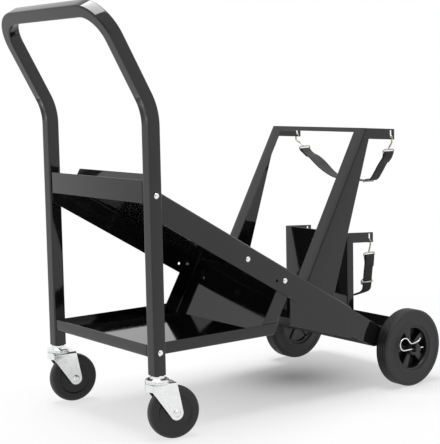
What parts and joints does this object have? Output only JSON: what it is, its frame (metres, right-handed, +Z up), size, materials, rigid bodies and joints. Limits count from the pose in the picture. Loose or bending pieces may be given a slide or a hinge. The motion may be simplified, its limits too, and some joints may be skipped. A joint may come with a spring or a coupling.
{
  "type": "welding cart",
  "caption": "Wheeled welding cart with a push handle, a sloped machine tray, a lower shelf, and a strapped gas bottle base over the rear wheels.",
  "frame": {"origin": "on the floor, under the middle of the overall box", "axes": "+X from the handle to the rear wheels, +Y to the left of someone pushing, +Z up"},
  "size_m": [0.849, 0.438, 0.808],
  "materials": {
    "paint": "glossy black paint",
    "zinc": "bright zinc plate",
    "dark_steel": "aged dark steel",
    "tyre": "black rubber",
    "plastic": "satin black plastic",
    "webbing": "woven black webbing"
  },
  "bodies": {
    "frame": {"axle_clip_left": "zinc", "axle_clip_right": "zinc", "bottle_base": "paint", "bracket_bolt_left": "zinc", "bracket_bolt_nut_left": "zinc", "bracket_bolt_nut_right": "zinc", "bracket_bolt_right": "zinc", "caster_race_left": "zinc", "caster_race_right": "zinc", "caster_stem_left": "zinc", "caster_stem_right": "zinc", "front_panel": "paint", "handle_frame": "paint", "inner_washer_left": "paint", "inner_washer_right": "paint", "lower_bottle_rack": "paint", "lower_shelf": "paint", "lower_strap_buckle": "dark_steel", "lower_strap_hook_left": "dark_steel", "lower_strap_hook_right": "dark_steel", "lower_strap_webbing": "webbing", "outer_washer_left": "paint", "outer_washer_right": "paint", "panel_bolt_left": "zinc", "panel_bolt_nut_left": "zinc", "panel_bolt_nut_right": "zinc", "panel_bolt_right": "zinc", "post_insert_left": "plastic", "post_insert_right": "plastic", "rear_axle": "paint", "shelf_bolt_left": "zinc", "shelf_bolt_nut_left": "zinc", "shelf_bolt_nut_right": "zinc", "shelf_bolt_right": "zinc", "top_tray": "paint", "tray_bolt_left": "zinc", "tray_bolt_nut_left": "zinc", "tray_bolt_nut_right": "zinc", "tray_bolt_right": "zinc", "upper_bottle_rack": "paint", "upper_strap_buckle": "dark_steel", "upper_strap_hook_left": "dark_steel", "upper_strap_hook_right": "dark_steel", "upper_strap_webbing": "webbing"},
    "caster_right": {"caster_fork_right": "zinc", "caster_bolt_right": "zinc", "caster_nut_right": "zinc"},
    "caster_wheel_right": {"caster_wheel_right": "tyre"},
    "rear_wheel_right": {"tyre_right": "tyre", "wheel_rim_right": "plastic"},
    "caster_left": {"caster_fork_left": "zinc", "caster_bolt_left": "zinc", "caster_nut_left": "zinc"},
    "caster_wheel_left": {"caster_wheel_left": "tyre"},
    "rear_wheel_left": {"tyre_left": "tyre", "wheel_rim_left": "plastic"}
  },
  "joints": [
    {"name": "caster_swivel_right", "type": "hinge", "parent": "frame", "child": "caster_right", "pos_m": [-0.307, -0.1827, 0.107], "axis": [0, 0, 1], "continuous": true},
    {"name": "caster_spin_right", "type": "hinge", "parent": "caster_right", "child": "caster_wheel_right", "pos_m": [-0.27707, -0.18906, 0.0505], "axis": [0.2079, 0.9781, 0], "continuous": true},
    {"name": "rear_wheel_spin_right", "type": "hinge", "parent": "frame", "child": "rear_wheel_right", "pos_m": [0.342, -0.188, 0.0825], "axis": [0, 1, 0], "continuous": true},
    {"name": "caster_swivel_left", "type": "hinge", "parent": "frame", "child": "caster_left", "pos_m": [-0.307, 0.1827, 0.107], "axis": [0, 0, 1], "continuous": true},
    {"name": "caster_spin_left", "type": "hinge", "parent": "caster_left", "child": "caster_wheel_left", "pos_m": [-0.2767, 0.17844, 0.0505], "axis": [0.1392, 0.9903, 0], "continuous": true},
    {"name": "rear_wheel_spin_left", "type": "hinge", "parent": "frame", "child": "rear_wheel_left", "pos_m": [0.342, 0.188, 0.0825], "axis": [0, 1, 0], "continuous": true}
  ]
}
